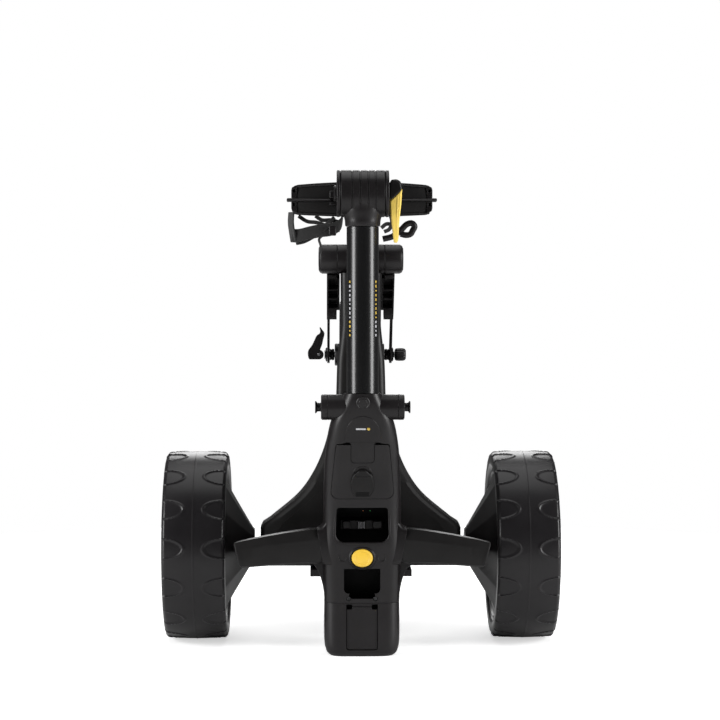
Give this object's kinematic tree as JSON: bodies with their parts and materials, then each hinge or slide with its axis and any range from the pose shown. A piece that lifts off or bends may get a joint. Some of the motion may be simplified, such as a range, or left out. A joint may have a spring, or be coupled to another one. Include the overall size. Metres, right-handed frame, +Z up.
{
  "type": "folding golf trolley",
  "caption": "Motorised three-wheel golf trolley, folded upright: moulded body with bag rests, gloss tube, cradle, folding fork, handle and lugged rear wheels.",
  "frame": {"origin": "centre of the object's bounding box at its base, where it stands on its tail box and rear wheels", "axes": "+Z up as it stands folded; -Y is the side that carries the bag; +X is to the right seen from that side"},
  "size_m": [0.617, 0.4217, 0.7355],
  "materials": {
    "black_plastic": "fine-grained satin black moulding",
    "frame_tube": "gloss black powder coat",
    "yellow_plastic": "satin yellow moulding",
    "tyre": "satin black rubber-like tread",
    "steel": "turned steel",
    "grip": "soft matte grip",
    "webbing": "woven strap",
    "grey_plastic": "grey moulding"
  },
  "bodies": {
    "body": {"body_shell": "black_plastic", "body_back_cover": "black_plastic", "power_socket": "grey_plastic", "control_board": "grey_plastic", "button_ring": "black_plastic", "button_spring": "steel", "tail_box": "black_plastic", "tail_cover": "black_plastic", "bag_rest_arm_left": "black_plastic", "bag_rest_arm_right": "black_plastic", "main_tube": "frame_tube", "tee_head": "black_plastic", "tee_pivot_bolt": "steel", "strap_barrel_left": "black_plastic", "strap_barrel_right": "black_plastic", "barrel_cap_left": "black_plastic", "barrel_cap_right": "black_plastic", "fold_ear_left": "black_plastic", "fold_ear_right": "black_plastic"},
    "chassis": {"chassis_shell": "black_plastic", "chassis_back_cover": "black_plastic", "neck_beam": "black_plastic", "neck_knuckle": "black_plastic", "rear_axle": "steel", "gearbox_left": "black_plastic", "gearbox_right": "black_plastic", "drive_motor_left": "steel", "drive_motor_right": "steel"},
    "rear_wheel_left": {"rear_tyre_left": "tyre", "rear_hub_left": "black_plastic"},
    "rear_wheel_right": {"rear_tyre_right": "tyre", "rear_hub_right": "black_plastic"},
    "fork": {"fork_leg_left": "black_plastic", "fork_leg_right": "black_plastic", "fork_hinge_pin": "steel", "front_axle": "steel", "axle_nut": "black_plastic"},
    "front_wheel": {"front_tyre": "tyre", "front_hub": "black_plastic"},
    "quick_release": {"quick_release_lever": "black_plastic"},
    "upper_frame": {"tee_cheek_left": "black_plastic", "tee_cheek_right": "black_plastic", "cradle_bridge": "black_plastic", "bag_cradle": "black_plastic", "upper_tube": "frame_tube", "console_housing": "black_plastic", "handle_bar": "black_plastic", "handle_grip_left": "grip", "handle_grip_right": "grip", "bag_strap": "webbing", "strap_buckle": "black_plastic"},
    "cam": {"cam_hub": "black_plastic", "cam_lever": "yellow_plastic"},
    "button": {"release_button": "yellow_plastic"},
    "door": {"battery_door": "black_plastic"},
    "latch": {"door_latch": "black_plastic"},
    "dial": {"speed_dial": "black_plastic"},
    "power_switch": {"power_button": "grey_plastic"}
  },
  "joints": [
    {"name": "upper_frame_fold", "type": "hinge", "parent": "body", "child": "upper_frame", "pos_m": [0, -0.176, 0.7005], "axis": [1, 0, 0], "range_deg": [0, 150]},
    {"name": "chassis_fold", "type": "hinge", "parent": "body", "child": "chassis", "pos_m": [0, 0.054, 0.15], "axis": [-1, 0, 0], "range_deg": [0, 54]},
    {"name": "front_fork_fold", "type": "hinge", "parent": "chassis", "child": "fork", "pos_m": [0, -0.036, 0.606], "axis": [1, 0, 0], "range_deg": [0, 142]},
    {"name": "rear_wheel_left_spin", "type": "hinge", "parent": "chassis", "child": "rear_wheel_left", "pos_m": [-0.258, 0.054, 0.15], "axis": [1, 0, 0], "continuous": true},
    {"name": "rear_wheel_right_spin", "type": "hinge", "parent": "chassis", "child": "rear_wheel_right", "pos_m": [0.258, 0.054, 0.15], "axis": [1, 0, 0], "continuous": true},
    {"name": "front_wheel_spin", "type": "hinge", "parent": "fork", "child": "front_wheel", "pos_m": [0, 0.082, 0.454], "axis": [1, 0, 0], "continuous": true},
    {"name": "quick_release_swing", "type": "hinge", "parent": "fork", "child": "quick_release", "pos_m": [-0.0655, 0.082, 0.454], "axis": [0, -1, 0], "range_deg": [0, 95]},
    {"name": "cam_lever_swing", "type": "hinge", "parent": "body", "child": "cam", "pos_m": [0.0487, -0.176, 0.7125], "axis": [0, -1, 0], "range_deg": [0, 95]},
    {"name": "release_button_press", "type": "slide", "parent": "body", "child": "button", "axis": [0, 1, 0], "range_m": [0, 0.003], "stiffness_N_per_m": 350},
    {"name": "battery_door_swing", "type": "hinge", "parent": "body", "child": "door", "pos_m": [0, -0.182, 0.327], "axis": [-1, 0, 0], "range_deg": [0, 75]},
    {"name": "door_latch_swing", "type": "hinge", "parent": "door", "child": "latch", "pos_m": [0, -0.1681, 0.287], "axis": [-1, 0, 0], "range_deg": [0, 30]},
    {"name": "speed_dial_turn", "type": "hinge", "parent": "upper_frame", "child": "dial", "pos_m": [0, 0.2024, 0.205], "axis": [0, 1, 0], "range_deg": [-140, 140]},
    {"name": "power_button_press", "type": "slide", "parent": "upper_frame", "child": "power_switch", "axis": [0, -1, 0], "range_m": [0, 0.0015], "stiffness_N_per_m": 300}
  ],
  "couplings": [
    {"joint": "chassis_fold", "follows": "upper_frame_fold", "ratio": 0.35},
    {"joint": "front_fork_fold", "follows": "upper_frame_fold", "ratio": 0.94}
  ]
}
